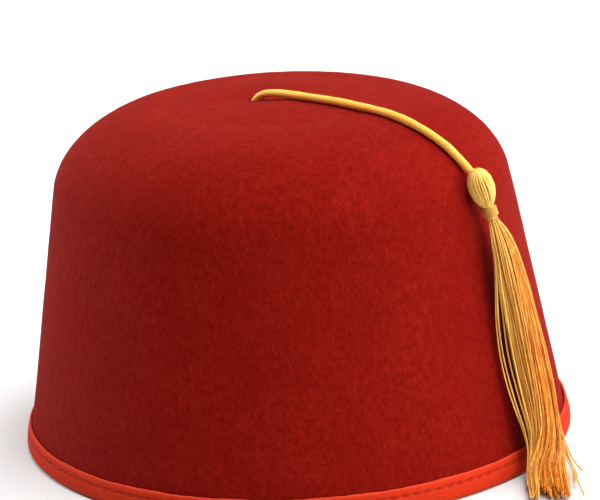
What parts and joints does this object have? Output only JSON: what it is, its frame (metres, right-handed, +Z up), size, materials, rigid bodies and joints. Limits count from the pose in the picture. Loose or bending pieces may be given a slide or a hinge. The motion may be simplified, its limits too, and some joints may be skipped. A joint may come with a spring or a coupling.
{
  "type": "fez hat",
  "caption": "Red felt fez with sloping walls, a rounded shoulder and a slightly domed top, a folded tape binding round the rim, and a gold cord and tassel from the top.",
  "frame": {"origin": "centre of the rim, on the table that the hat stands on", "axes": "+Z up through the top of the hat, +Y along the long axis of its oval away from the tassel, +X across it"},
  "size_m": [0.1842, 0.2242, 0.1218],
  "materials": {
    "felt": "napped wool-like felt, matt with a soft sheen",
    "tape": "woven bias tape, stitched",
    "cord": "twisted satin cord",
    "tassel": "glossy rayon strands",
    "thread": "wound thread"
  },
  "bodies": {
    "root": {"crown": "felt", "rim_binding": "tape", "cord": "cord", "cord_knot": "cord", "tassel": "tassel", "neck_winding": "thread"}
  },
  "joints": []
}
